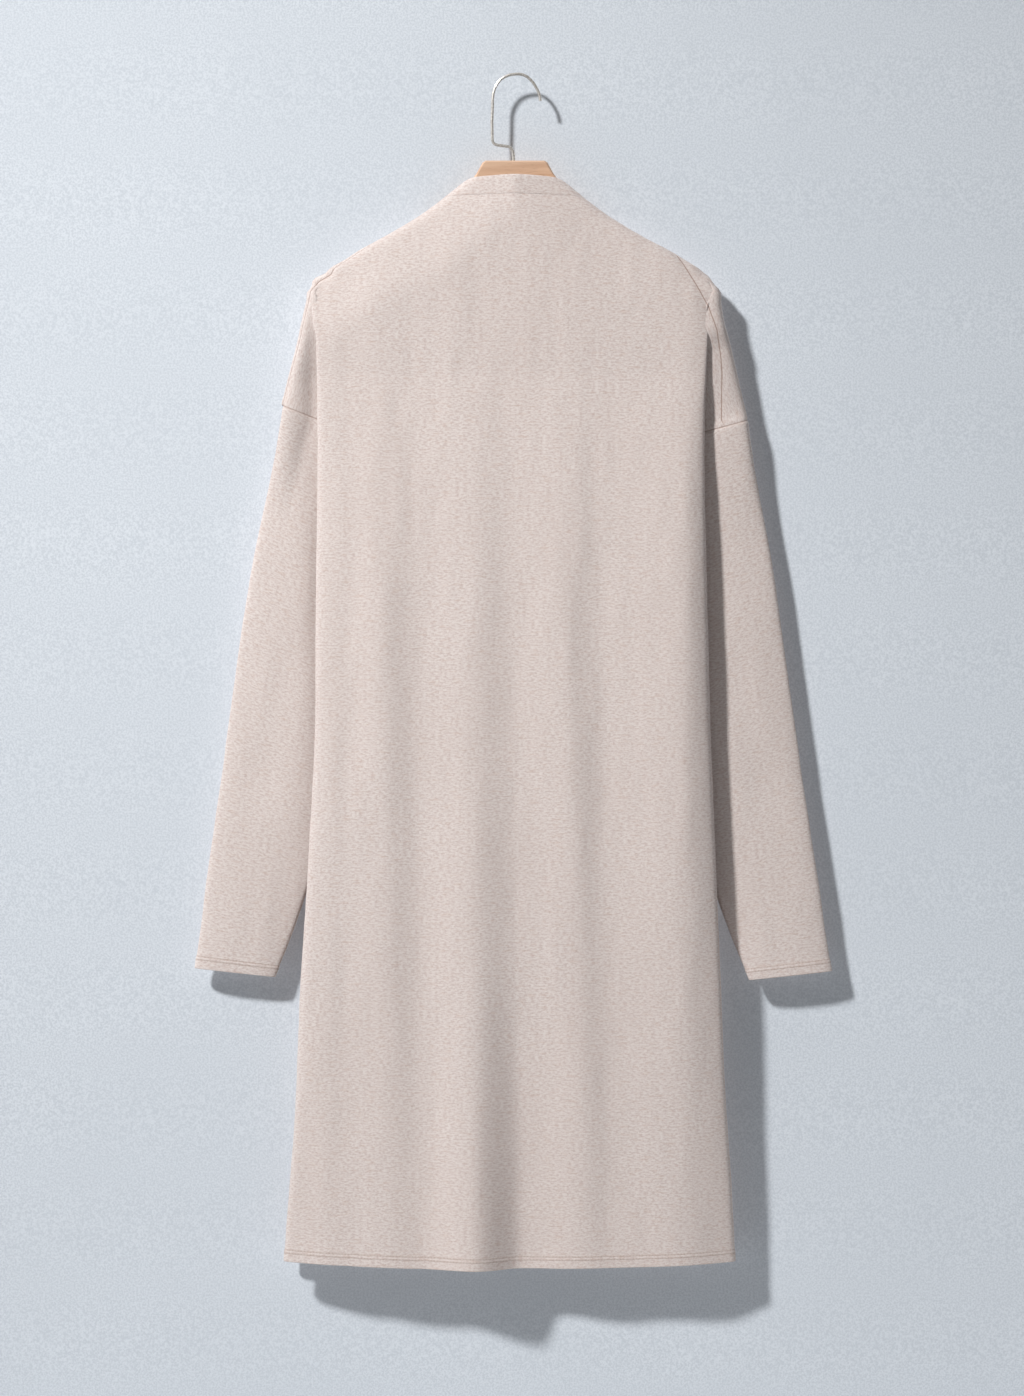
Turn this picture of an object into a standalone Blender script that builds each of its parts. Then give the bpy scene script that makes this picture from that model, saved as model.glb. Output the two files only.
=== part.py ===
"""Long open-front knitted cardigan on a wooden hanger with a wire hook.

Metres, +Z up, X across. The back of the garment faces -Y and its open front
faces +Y. The origin is under the crown of the hook, where a peg carries it.

Every panel is drawn flat first, as a cutter would: p is the distance out from
the centre line and q the drop below the origin. The flat panel is then folded
the way the cloth hangs: over the shoulder of the hanger (the shoulder roll),
back on itself down the side of the body (the side roll), and out again along
the slanted pleat under the hanger's tip (the underarm pleat). The side seam
lies in the valley behind, and the sleeve hangs between the folded layers.
"""
import math

import bpy
import numpy as np

# ---- cloth ---------------------------------------------------------------
CLOTH = 0.0015
SEAM_GAP = 0.0007
SLEEVE_GAP = 0.0008
BACK, FRONT = -1, 1
LEFT, RIGHT = -1, 1

# ---- hanger --------------------------------------------------------------
WOOD_THICK = 0.011
WOOD_TOP = 0.0855
HUMP_HALF_TOP = 0.0315
HUMP_HALF_BASE = 0.0385
HUMP_BASE_DROP = 0.0985
ARM_CLEAR = 0.0055
ARM_HEIGHT_NECK = 0.034
ARM_HEIGHT_TIP = 0.016
ARM_P = (0.050, 0.070, 0.095, 0.125, 0.155, 0.180, 0.192)
TIP_ROUND = ((0.1955, 0.006), (0.1950, 0.012))   # x, and drop below the arm's top
HUMP_ROUND = 0.002
ARCH = 0.006                           # rise of the lower edge at the centre
WOOD_BEVEL, BEVEL_ANGLE = 0.0016, 50
WIRE_RADIUS = 0.0015

# ---- flat pattern --------------------------------------------------------
TIP_P, TIP_Q = 0.199, 0.206            # where the cloth leaves the hanger
BAND_TOP, BAND_FOOT = 0.1000, 0.1195   # drop of the neckband's two edges
BAND_TURN = 0.0065                     # band's ends, turned past the shoulder line
SHOULDER_END_Q = 0.2165                 # the shoulder seam meets the sleeve
UNDERARM_P, UNDERARM_Q = 0.330, 0.395
HEM_CENTRE, HEM_RISE = 1.192, 0.006
PLEAT = math.atan2(UNDERARM_P - TIP_P, UNDERARM_Q - TIP_Q)
# Flat half width of the panels, from the shoulder's end down to the hem.
WIDTH_Q = (0.2165, 0.395, 0.450, 0.620, 0.905, 1.187)
WIDTH_P = (0.323, 0.329, 0.335, 0.328, 0.321, 0.330)

# Shoulder line in the flat, a roll's radius outside the silhouette.
SHOULDER_P = (0.000, 0.042, 0.105, 0.160, 0.192, 0.215, 0.250, 0.325)
SHOULDER_Q = (0.065, 0.0930, 0.1388, 0.170, 0.1900, 0.1995, 0.2020, 0.2100)
# How far the back's edge stops short of the shoulder line (below 0: past it).
SEAM_SET_P = (0.060, 0.110, 0.160, 0.240, 0.330)
SEAM_SET = (-0.006, -0.002, 0.004, 0.009, 0.009)

# ---- folded shape --------------------------------------------------------
ROLL_SHOULDER = 0.0070
ROLL_PLEAT = 0.0060
SEAM_VALLEY = 0.010                    # rounding of the cloth into the side seam
HALF_GAP = 0.0098                      # half the gap between back and front
# Distances over which one shape passes into the next.
NECK_RUN = 0.03                        # shoulder roll, from the centre line out
DRAPE_RUN = 0.07                       # from the shoulder into the hanging folds
YOKE_RUN = 0.05                        # from the pleat into the flat yoke
PLEAT_RUN, PLEAT_TIP_SHARE = 0.06, 0.4 # the pleat is tighter at the hanger's tip
EDGE_RUN = 0.012                       # from the layers' depth to the sewn edge's
SHOULDER_RUN = 0.02                    # front's shoulder edge, drawn to the back's
VALLEY_ABOVE, VALLEY_RUN = 0.03, 0.07  # the seam's valley starts above the underarm
ARMHOLE_ROUND = 0.034                  # height of the armhole's rounded foot

# Outline of the body: drop, left and right half width.
EDGE_Q = (0.100, 0.212, 0.344, 0.498, 0.652, 0.793, 0.905, 1.034, 1.187)
EDGE_LEFT = (0.197, 0.198, 0.196, 0.1973, 0.199, 0.206, 0.213, 0.219, 0.231)
EDGE_RIGHT = (0.195, 0.194, 0.188, 0.190, 0.194, 0.200, 0.205, 0.211, 0.2206)
# Side roll radius, middle of the folded layers, and the layers turned in.
SHAPE_Q = (0.100, 0.212, 0.250, 0.330, 0.395, 0.620, 0.905, 1.187)
SIDE_ROLL = (0.003, 0.003, 0.005, 0.008, 0.009, 0.009, 0.008, 0.006)
MIDDLE = (0.000, 0.000, 0.002, 0.0055, 0.006, 0.008, 0.011, 0.0155)
BACK_RETURN = (-0.0095, -0.0095, -0.0105, -0.0110, -0.010, -0.009, -0.003, 0.0110)
FRONT_RETURN = (0.0095, 0.0100, 0.0130, 0.0180, 0.0202, 0.0200, 0.0205, 0.0200)

# Ridges and valleys of the back: place across at the chest and at the hem,
# and depth (y) at five heights.
FOLD_Q = (0.300, 0.450, 0.700, 0.950, 1.190)
FOLDS = (
    # x chest, x hem, y at each of FOLD_Q
    (-0.205, -0.232, (-0.0165, -0.018, -0.017, -0.010, 0.0060)),
    (-0.170, -0.180, (-0.018, -0.023, -0.024, -0.018, -0.0090)),
    (-0.135, -0.120, (-0.019, -0.029, -0.032, -0.026, -0.0210)),
    (-0.098, -0.095, (-0.018, -0.025, -0.025, -0.022, -0.0200)),
    (-0.043, -0.040, (-0.019, -0.030, -0.035, -0.039, -0.0470)),
    (-0.006, 0.008, (-0.0185, -0.026, -0.027, -0.018, 0.0010)),
    (0.043, 0.070, (-0.019, -0.030, -0.034, -0.027, -0.0130)),
    (0.080, 0.098, (-0.018, -0.026, -0.027, -0.022, -0.0090)),
    (0.150, 0.130, (-0.018, -0.030, -0.036, -0.028, -0.0140)),
    (0.200, 0.222, (-0.0165, -0.017, -0.016, -0.009, 0.0050)),
)
# The fronts lie nearly flat: the same kind of table, from the centre out.
FRONT_FOLDS = (
    (0.010, 0.012, (0.0180, 0.0255, 0.0270, 0.0280, 0.0285)),
    (0.060, 0.070, (0.0195, 0.0275, 0.0300, 0.0310, 0.0320)),
    (0.110, 0.125, (0.0190, 0.0255, 0.0275, 0.0280, 0.0275)),
    (0.155, 0.175, (0.0205, 0.0270, 0.0295, 0.0300, 0.0300)),
    (0.205, 0.232, (0.0205, 0.0245, 0.0260, 0.0265, 0.0265)),
)
# Edge of the open front: drop and distance from the centre line.
OPENING_Q = (0.120, 0.200, 0.300, 0.420, 0.800, 1.190)
OPENING_X = (0.093, 0.066, 0.040, 0.021, 0.016, 0.016)
OPENING_START_Q = 0.26                 # below this the front's edge is as drawn

# ---- sleeves: corners of the cuff, inner and outer, and depth of its middle
CUFFS = {
    LEFT: ((-0.234, -0.9024), (-0.3202, -0.8937), 0.0165),
    RIGHT: ((0.2284, -0.9054), (0.3167, -0.8964), 0.0130),
}
CUFF_HALF_DEPTH = 0.0065
YOKE_HALF_GAP = 0.0075                 # half the depth of the sleeve's head
BOW_AT = (0.0, 0.2, 0.4, 0.6, 0.8, 1.0)   # outward bow of the sleeve's outer edge
BOW = (0.0, 0.0040, 0.0070, 0.0055, 0.0025, 0.0)
FLATNESS = 0.8                         # below 1: flatter than an ellipse
UNDERARM_EASE = 0.007                  # sleeve's inner edge, clear of the seam
UNDERARM_REACH = 0.014
EASE_SHARE, HEAD_SHARE = 0.05, 0.22    # of the sleeve's length
SLEEVE_CROWD = 1.15                    # rows stand closer towards the armhole

# ---- mesh steps ----------------------------------------------------------
INNER_STEPS = 12
NECK_STEPS = 6
ROLL_OFFSETS = (-0.010, -0.005, 0.000, 0.005, 0.010)
ROLL_REACH = 0.016
OUTER_STEPS, OUTER_CROWD = 7, 1.8       # columns stand closer towards the seam
FIRST_ROWS = (0.000, 0.004, 0.009, 0.016)     # close rows under the shoulder seam
ARMHOLE_STEPS = 11
BODY_STEPS, ROW_CROWD = 12, 0.35        # rows stand closer towards the underarm
SLEEVE_STEPS = 13
BAND_STEPS = 9

COLLECTION = "tunic_cardigan_on_hanger"


# ---- small helpers -------------------------------------------------------
def ease(t):
    """Smooth step from 0 to 1."""
    t = np.clip(t, 0.0, 1.0)
    return t * t * (3.0 - 2.0 * t)


def bend(distance, radius):
    """Distance from a crease that has this radius; it never reaches zero."""
    return np.sqrt(distance * distance + radius * radius)


def curve(at, knots, values):
    """Smooth curve through a short table, held level past its ends."""
    knots = np.asarray(knots, float)
    values = np.asarray(values, float)
    slopes = np.gradient(values, knots)
    at = np.clip(at, knots[0], knots[-1])
    i = np.clip(np.searchsorted(knots, at) - 1, 0, len(knots) - 2)
    step = knots[i + 1] - knots[i]
    t = (at - knots[i]) / step
    start = (1 + 2 * t) * (1 - t) ** 2 * values[i] + t * (1 - t) ** 2 * step * slopes[i]
    end = t * t * (3 - 2 * t) * values[i + 1] + t * t * (t - 1) * step * slopes[i + 1]
    return start + end


def waves(x, q, folds):
    """Depth of a layer: level at each ridge and valley, eased between them."""
    lean = ease((q - FOLD_Q[0]) / (FOLD_Q[-1] - FOLD_Q[0]))
    places = [chest + (hem - chest) * lean for chest, hem, _ in folds]
    depths = [curve(q, FOLD_Q, ys) for _, _, ys in folds]
    depth = depths[0] + 0.0 * x
    for k in range(len(folds) - 1):
        share = ease((x - places[k]) / (places[k + 1] - places[k]))
        depth = depth + (depths[k + 1] - depths[k]) * share
    return depth


# ---- the fold map --------------------------------------------------------
def body_edge(q, side):
    """Half width of the hanging body at this drop."""
    return curve(q, EDGE_Q, EDGE_LEFT if side == LEFT else EDGE_RIGHT)


def crease(q, side):
    """Centre line of the side roll, a roll's radius outside the edge."""
    return body_edge(q, side) + curve(q, SHAPE_Q, SIDE_ROLL)


def shoulder_line(p):
    """Drop of the flat shoulder line and the angle of its slope."""
    step = 0.004
    drop = curve(p, SHOULDER_P, SHOULDER_Q)
    rise = curve(p + step, SHOULDER_P, SHOULDER_Q) - curve(p - step, SHOULDER_P, SHOULDER_Q)
    width = np.clip(p + step, None, SHOULDER_P[-1]) - np.clip(p - step, 0, None)
    return drop, np.arctan2(rise, width)


def fold(p, q, side, face, room=None, side_radius=0.0, edge_depth=None):
    """Folds flat points (p, q) of one half; room is the way left to the edge.

    side_radius rounds the cloth into the side seam's valley, and edge_depth
    is the depth that the outer edge is drawn to.
    """
    if room is not None:
        p = p + room - bend(room, side_radius)
    drop, slope = shoulder_line(p)
    past = (q - drop) * np.cos(slope)
    push = (bend(past, ROLL_SHOULDER) - past) * ease(p / NECK_RUN)
    p = p - np.sin(slope) * push
    q = q + np.cos(slope) * push

    across = (p - TIP_P) * math.cos(PLEAT) - (q - TIP_Q) * math.sin(PLEAT)
    along = (p - TIP_P) * math.sin(PLEAT) + (q - TIP_Q) * math.cos(PLEAT)
    radius = ROLL_PLEAT * (PLEAT_TIP_SHARE + (1 - PLEAT_TIP_SHARE) * ease(along / PLEAT_RUN))
    back_in = bend(across, radius)
    p = TIP_P + along * math.sin(PLEAT) - back_in * math.cos(PLEAT)
    q = TIP_Q + along * math.cos(PLEAT) + back_in * math.sin(PLEAT)

    pleat_share = 0.5 * (1 + across / bend(across, radius))
    line = crease(q, side)
    radius_side = curve(q, SHAPE_Q, SIDE_ROLL)
    beyond = p - line
    yoke_line = line + (TIP_P - line) * ease(across / YOKE_RUN)
    x = line - bend(beyond, radius_side)
    x = x + (2 * yoke_line - p - x) * pleat_share

    middle = curve(q, SHAPE_Q, MIDDLE)
    if face == BACK:
        hanging = waves(x * side, q, FOLDS)
        returned = curve(q, SHAPE_Q, BACK_RETURN)
    else:
        hanging = waves(x, q, FRONT_FOLDS)
        returned = curve(q, SHAPE_Q, FRONT_RETURN)
    drape = ease(past / DRAPE_RUN)
    hanging = face * HALF_GAP * (1 - drape) + hanging * drape
    yoke = middle + face * YOKE_HALF_GAP
    y = hanging + (returned - hanging) * 0.5 * (1 + beyond / bend(beyond, radius_side))
    y = y + (yoke - y) * pleat_share
    if edge_depth is not None:
        weight = np.exp(-room / EDGE_RUN)
        y = y + (edge_depth - y[:, -1:]) * weight
    roll = 0.5 * (1 - past / bend(past, ROLL_SHOULDER))
    y = y + (2 * middle - 2 * y) * roll
    return np.stack([x * side, y, -q], axis=-1)


# ---- flat grids ----------------------------------------------------------
def row_drops():
    """Drop of each row at the outer edge: armhole first, then side seam."""
    first = SHOULDER_END_Q + np.array(FIRST_ROWS)
    armhole = np.concatenate([first, np.linspace(first[-1], UNDERARM_Q, ARMHOLE_STEPS)[1:]])
    t = np.linspace(0, 1, BODY_STEPS + 1)[1:]
    foot = HEM_CENTRE - HEM_RISE
    t = t * (1 - ROW_CROWD + ROW_CROWD * t)
    body = UNDERARM_Q + (foot - UNDERARM_Q) * t
    return np.concatenate([armhole, body])


def half_grid(side, face):
    """Flat p and q of one half, centre (or front edge) out; rows run down."""
    drops = row_drops()[:, None]
    line = crease(drops, side)
    edge = curve(drops, WIDTH_Q, WIDTH_P)
    fractions = np.linspace(0, 1, INNER_STEPS + 1)
    if face == FRONT:
        fractions = fractions[NECK_STEPS:]
        inner = curve(drops, OPENING_Q, OPENING_X)
        top = (line[0] - ROLL_REACH) * NECK_STEPS / INNER_STEPS
        share = (fractions - fractions[0]) / (1 - fractions[0])
        inner = np.where(drops > OPENING_START_Q, inner, top + (inner - top) * ease(
            (drops - SHOULDER_END_Q) / (OPENING_START_Q - SHOULDER_END_Q)))
        columns = inner + (line - ROLL_REACH - inner) * share
    else:
        columns = (line - ROLL_REACH) * fractions
    roll = line + np.asarray(ROLL_OFFSETS)
    share = 1 - np.linspace(1, 0, OUTER_STEPS + 1) ** OUTER_CROWD
    outer = line + ROLL_REACH + (edge - line - ROLL_REACH) * share
    p = np.hstack([columns, roll, outer])

    drop, slope = shoulder_line(p[0])
    set_in = curve(p[0], SEAM_SET_P, SEAM_SET) * -face + SEAM_GAP / 2
    top = drop + set_in / np.cos(slope)
    if face == BACK:
        top = np.maximum(top, BAND_FOOT + SEAM_GAP / 2)
    hem = HEM_CENTRE - HEM_RISE * np.clip(p[-1] / body_edge(EDGE_Q[-1], side), 0, 1) ** 2
    share = (drops - drops[0]) / (drops[-1] - drops[0])
    q = top + (hem - top) * share
    q[:, -1] = drops[:, 0]
    return p, q


def half_panel(side, face):
    """Folded surface of one half of the back, or of one front."""
    p, q = half_grid(side, face)
    drops = row_drops()[:, None]
    room = p[:, -1:] - p
    below = drops - UNDERARM_Q
    radius = SEAM_VALLEY * ease((below + VALLEY_ABOVE) / VALLEY_RUN)
    up = np.clip(-below / ARMHOLE_ROUND, 0, 1)
    depth = np.sqrt(1 - (1 - up) ** 2)
    middle = curve(drops, SHAPE_Q, MIDDLE)
    edge_depth = middle + face * (YOKE_HALF_GAP * depth + SEAM_GAP * 0.6)
    return fold(p, q, side, face, room, radius, edge_depth)


# ---- objects -------------------------------------------------------------
def material(name, colour, roughness, metallic=0.0):
    made = bpy.data.materials.new(name)
    made.use_nodes = True
    shader = made.node_tree.nodes["Principled BSDF"]
    shader.inputs["Base Color"].default_value = (*colour, 1)
    shader.inputs["Roughness"].default_value = roughness
    shader.inputs["Metallic"].default_value = metallic
    return made


def grid_object(name, points, finish, around=False):
    """A shell of cloth thickness on a grid of points, closed if around."""
    rows, columns = points.shape[:2]
    faces = []
    for r in range(rows - 1):
        for c in range(columns if around else columns - 1):
            n = (c + 1) % columns
            here, below = r * columns, (r + 1) * columns
            faces.append((here + c, below + c, below + n, here + n))
    mesh = bpy.data.meshes.new(name)
    mesh.from_pydata(points.reshape(-1, 3).tolist(), [], faces)
    mesh.shade_smooth()
    made = bpy.data.objects.new(name, mesh)
    made.data.materials.append(finish)
    wall = made.modifiers.new("cloth", "SOLIDIFY")
    wall.thickness = CLOTH
    wall.offset = 0.0
    return made


def whole(halves):
    """Left and right half grids joined at the centre line."""
    return np.concatenate([halves[LEFT][:, :0:-1], halves[RIGHT]], axis=1)


def front_panel(side, back_half):
    """One front, its shoulder edge drawn to the back's with a seam between."""
    surface = half_panel(side, FRONT)
    seam = back_half[:2, NECK_STEPS:]
    ahead = seam[0] - seam[1]
    ahead /= np.linalg.norm(ahead, axis=-1, keepdims=True)
    away = np.linalg.norm(surface - surface[:1], axis=-1, keepdims=True)
    return surface + (seam[0] + ahead * SEAM_GAP - surface[:1]) * np.exp(-away / SHOULDER_RUN)


def neckband_surface():
    """Strip round the back of the neck, turned over the hanger at both ends."""
    rows = np.linspace(BAND_TOP, BAND_FOOT - SEAM_GAP / 2, 4)[:, None]
    halves = {}
    for side in (LEFT, RIGHT):
        share = np.linspace(0, 1, BAND_STEPS + 1)
        reach = np.interp(rows, SHOULDER_Q, SHOULDER_P) + BAND_TURN
        p = reach * share
        halves[side] = fold(p, rows + 0.0 * p, side, BACK)
    return whole(halves)


def armhole_loop(back_half, front, side):
    """Armhole edge from the underarm up the back and down the front."""
    steps = len(FIRST_ROWS) + ARMHOLE_STEPS - 1
    loop = np.concatenate([back_half[:steps, -1][::-1], front[1:steps - 1, -1]])
    away = np.linalg.norm(loop - loop[0], axis=-1)
    loop[:, 0] += side * UNDERARM_EASE * np.exp(-(away / UNDERARM_REACH) ** 2)
    return loop


def lengths(points):
    """Running length round a closed loop, from 0 to 1."""
    closed = np.vstack([points, points[:1]])
    run = np.cumsum(np.linalg.norm(np.diff(closed, axis=0), axis=1))
    return np.concatenate([[0], run[:-1]]) / run[-1]


def sleeve_section(inner, outer, half_depth, places):
    """Flattened ring between two corners, read at the given shares round it."""
    angle = np.linspace(math.pi, -math.pi, 257)
    middle, half = (inner + outer) / 2, (outer - inner) / 2
    ring = middle + np.cos(angle)[:, None] * half
    depth = half_depth * np.sign(np.sin(angle)) * np.abs(np.sin(angle)) ** FLATNESS
    ring[:, 1] -= depth
    run = np.concatenate([[0], np.cumsum(np.linalg.norm(np.diff(ring, axis=0), axis=1))])
    run /= run[-1]
    return np.stack([np.interp(places, run, ring[:, k]) for k in range(3)], axis=-1)


def sleeve_surface(loop, side):
    """Tapered tube from the armhole's loop down to the cuff."""
    inner_cuff, outer_cuff, cuff_y = CUFFS[side]
    reach = np.linalg.norm(loop - loop[0], axis=1)
    inner_top, outer_top = loop[0], loop[np.argmax(reach)].copy()
    outer_top[1] = inner_top[1]
    inner_end = np.array([inner_cuff[0], cuff_y, inner_cuff[1]])
    outer_end = np.array([outer_cuff[0], cuff_y, outer_cuff[1]])
    down = (inner_end + outer_end) - (inner_top + outer_top)
    down /= np.linalg.norm(down)
    places = lengths(loop)
    top = sleeve_section(inner_top, outer_top, YOKE_HALF_GAP, places)
    rows = []
    for t in np.linspace(0, 1, SLEEVE_STEPS + 1) ** SLEEVE_CROWD:
        bow = np.interp(t, BOW_AT, BOW) * side
        inner = inner_top + (inner_end - inner_top) * t
        inner[0] += side * UNDERARM_EASE * ease(t / EASE_SHARE)
        outer = outer_top + (outer_end - outer_top) * t + np.array([bow, 0, 0])
        half_depth = YOKE_HALF_GAP + (CUFF_HALF_DEPTH - YOKE_HALF_GAP) * t
        ring = sleeve_section(inner, outer, half_depth, places)
        ring += (loop - top) * (1 - ease(t / HEAD_SHARE)) + down * SLEEVE_GAP * (1 - t)
        rows.append(ring)
    return np.array(rows)


def wood_outline():
    """Right half of the hanger's outline, hump to tip and back below."""
    p = np.array(ARM_P)
    drop, slope = shoulder_line(p)
    top = drop + (ROLL_SHOULDER + ARM_CLEAR) / np.cos(slope)
    share = (p - p[0]) / (p[-1] - p[0])
    height = ARM_HEIGHT_NECK + (ARM_HEIGHT_TIP - ARM_HEIGHT_NECK) * share
    upper = [(HUMP_HALF_TOP - HUMP_ROUND, WOOD_TOP),
             (HUMP_HALF_TOP + HUMP_ROUND / 2, WOOD_TOP + HUMP_ROUND),
             (HUMP_HALF_BASE, HUMP_BASE_DROP)]
    upper += list(zip(p, top))
    end = [(x, top[-1] + below) for x, below in TIP_ROUND]
    lower = list(zip(p[::-1], (top + height)[::-1]))
    return upper + end + lower + [(0.0, top[0] + height[0] - ARCH)]


def hanger_wood(finish):
    half = wood_outline()
    outline = half + [(-x, q) for x, q in half[-2::-1]]
    data = bpy.data.curves.new("hanger_wood", "CURVE")
    data.dimensions = "2D"
    data.fill_mode = "BOTH"
    data.extrude = WOOD_THICK / 2
    spline = data.splines.new("POLY")
    spline.points.add(len(outline) - 1)
    for point, (x, q) in zip(spline.points, outline):
        point.co = (x, -q, 0, 1)
    spline.use_cyclic_u = True
    made = bpy.data.objects.new("hanger_wood", data)
    made.rotation_euler = (math.pi / 2, 0, 0)
    data.materials.append(finish)
    weld = made.modifiers.new("weld", "WELD")
    weld.merge_threshold = 0.0001
    edge = made.modifiers.new("edge", "BEVEL")
    edge.width = WOOD_BEVEL
    edge.segments = 1
    edge.limit_method = "ANGLE"
    edge.angle_limit = math.radians(BEVEL_ANGLE)
    return made


# Wire route: x and z by hand, from the wood up, round the crown to the end.
HOOK_ROUTE = (
    (-0.0015, -WOOD_TOP + 0.0003), (-0.0018, -0.0780), (-0.0040, -0.0722),
    (-0.0090, -0.0705), (-0.0170, -0.0695), (-0.0215, -0.0675), (-0.0226, -0.0620),
    (-0.0224, -0.0300), (-0.0217, -0.0180), (-0.0176, -0.0077), (-0.0107, -0.0014),
    (0.0000, 0.0015), (0.0082, 0.0008), (0.0157, -0.0042), (0.0214, -0.0123),
    (0.0247, -0.0200), (0.0254, -0.0254),
)


def hanger_hook(finish):
    data = bpy.data.curves.new("hanger_hook", "CURVE")
    data.dimensions = "3D"
    data.bevel_depth = WIRE_RADIUS
    data.bevel_resolution = 2
    data.use_fill_caps = True
    data.resolution_u = 2
    spline = data.splines.new("BEZIER")
    spline.bezier_points.add(len(HOOK_ROUTE) - 1)
    for point, (x, z) in zip(spline.bezier_points, HOOK_ROUTE):
        point.co = (x, 0, z)
        point.handle_left_type = "AUTO"
        point.handle_right_type = "AUTO"
    made = bpy.data.objects.new("hanger_hook", data)
    data.materials.append(finish)
    return made


def main():
    for old in list(bpy.data.objects):
        bpy.data.objects.remove(old)
    group = bpy.data.collections.new(COLLECTION)
    bpy.context.scene.collection.children.link(group)
    knit = material("oatmeal_knit", (0.62, 0.53, 0.49), 0.9)
    wood = material("beech", (0.60, 0.39, 0.25), 0.45)
    wire = material("steel_wire", (0.62, 0.62, 0.62), 0.3, 1.0)

    backs = {side: half_panel(side, BACK) for side in (LEFT, RIGHT)}
    fronts = {side: front_panel(side, backs[side]) for side in (LEFT, RIGHT)}
    pieces = [grid_object("back", whole(backs), knit)]
    for side, name in ((LEFT, "left"), (RIGHT, "right")):
        pieces.append(grid_object(f"front_{name}", fronts[side], knit))
        loop = armhole_loop(backs[side], fronts[side], side)
        pieces.append(grid_object(f"sleeve_{name}", sleeve_surface(loop, side), knit, True))
    pieces.append(grid_object("neckband", neckband_surface(), knit))
    pieces.append(hanger_wood(wood))
    pieces.append(hanger_hook(wire))
    for piece in pieces:
        group.objects.link(piece)


main()
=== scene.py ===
"""Looks of the long knitted cardigan on its hanger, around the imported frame.

Metres, +Z up. The back of the garment faces -Y. Each cloth piece is drawn flat
(p out from the centre line, q down) and folded as it hangs, in fine steps. Its
UV map "flat" is the cloth's own plane in metres, "edge" holds the run along the
nearest trimmed edge and the distance from it, and "seam" holds the distances
from the mesh's sewn edges and from the drawn shoulder seam.
"""
import math

import bpy
import numpy as np
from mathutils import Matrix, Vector


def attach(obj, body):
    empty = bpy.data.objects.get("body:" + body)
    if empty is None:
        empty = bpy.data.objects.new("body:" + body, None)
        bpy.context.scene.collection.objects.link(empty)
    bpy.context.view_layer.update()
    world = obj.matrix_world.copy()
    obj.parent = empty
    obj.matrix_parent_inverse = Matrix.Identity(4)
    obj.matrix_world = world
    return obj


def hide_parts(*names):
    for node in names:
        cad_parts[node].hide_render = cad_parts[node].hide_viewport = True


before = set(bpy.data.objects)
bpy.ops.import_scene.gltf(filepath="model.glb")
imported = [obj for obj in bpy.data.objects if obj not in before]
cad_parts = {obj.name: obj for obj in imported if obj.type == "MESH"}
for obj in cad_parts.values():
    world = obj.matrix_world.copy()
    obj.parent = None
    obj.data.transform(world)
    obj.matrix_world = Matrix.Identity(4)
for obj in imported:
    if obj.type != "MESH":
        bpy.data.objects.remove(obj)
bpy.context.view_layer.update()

# ---- cloth ---------------------------------------------------------------
CLOTH = 0.0013
SEAM_GAP = 0.0001
SIDE_SEAM_GAP = 0.6 * SEAM_GAP
SLEEVE_GAP = 0.0001
BACK, FRONT = -1, 1
LEFT, RIGHT = -1, 1
TURN = 0.012                           # depth of the turned hems
TURN_THICK, TURN_STEP = 0.0009, 0.0014
GROOVE_DEEP, GROOVE_WIDE = 0.0007, 0.0007

# ---- flat pattern, as in the solids --------------------------------------
TIP_P, TIP_Q = 0.199, 0.206
BAND_TOP, BAND_FOOT = 0.1000, 0.1195
BAND_TURN = 0.0065
NECK_P = 0.1                           # the neckband's foot ends within this
SHOULDER_END_Q = 0.2165
UNDERARM_P, UNDERARM_Q = 0.330, 0.395
HEM_CENTRE, HEM_RISE = 1.192, 0.006
HEM_FOOT = 1.187
PLEAT = math.atan2(UNDERARM_P - TIP_P, UNDERARM_Q - TIP_Q)
WIDTH_Q = (0.2165, 0.395, 0.450, 0.620, 0.905, 1.187)
WIDTH_P = {LEFT: (0.327, 0.329, 0.335, 0.328, 0.321, 0.330),
           RIGHT: (0.341, 0.329, 0.335, 0.328, 0.321, 0.330)}
SHOULDER_P = (0.000, 0.042, 0.105, 0.160, 0.192, 0.215, 0.250, 0.325, 0.350)
SHOULDER_Q = (0.065, 0.0930, 0.1388, 0.170, 0.1900, 0.1995, 0.2020, 0.2100, 0.2127)
RIGHT_DROP = (0.0, 0.001, 0.0015, 0.001, 0.0, 0.001, 0.0025, 0.004, 0.0045)
# How far down the back the seam is set from the shoulder line.
SEAM_SET_P = (0.060, 0.110, 0.145, 0.170, 0.205, 0.240, 0.280, 0.330)
SEAM_SET = {LEFT: (-0.006, -0.002, 0.003, 0.0055, 0.007, 0.0065, 0.005, 0.003),
            RIGHT: (-0.006, -0.002, 0.002, 0.0015, 0.0, 0.0, 0.0, 0.0)}
# On the right the mesh's seam shows up to SEAM_SHOWN. From there it lies on the
# silhouette, and the sewn line is drawn through these points of the back.
SEAM_SHOWN, SEAM_FADE = 0.140, 0.01
SEWN_X = (0.140, 0.168, 0.182, 0.193, 0.201, 0.205, 0.2065, 0.2062, 0.2062)
SEWN_Z = (-0.151, -0.1894, -0.2124, -0.2324, -0.2544, -0.2794, -0.2944, -0.3254, -0.345)
SEWN_REACH, SEWN_DEEP = 0.0035, 0.0006
SEWN_BEHIND = 0.002                    # only on the cloth behind this depth

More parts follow.
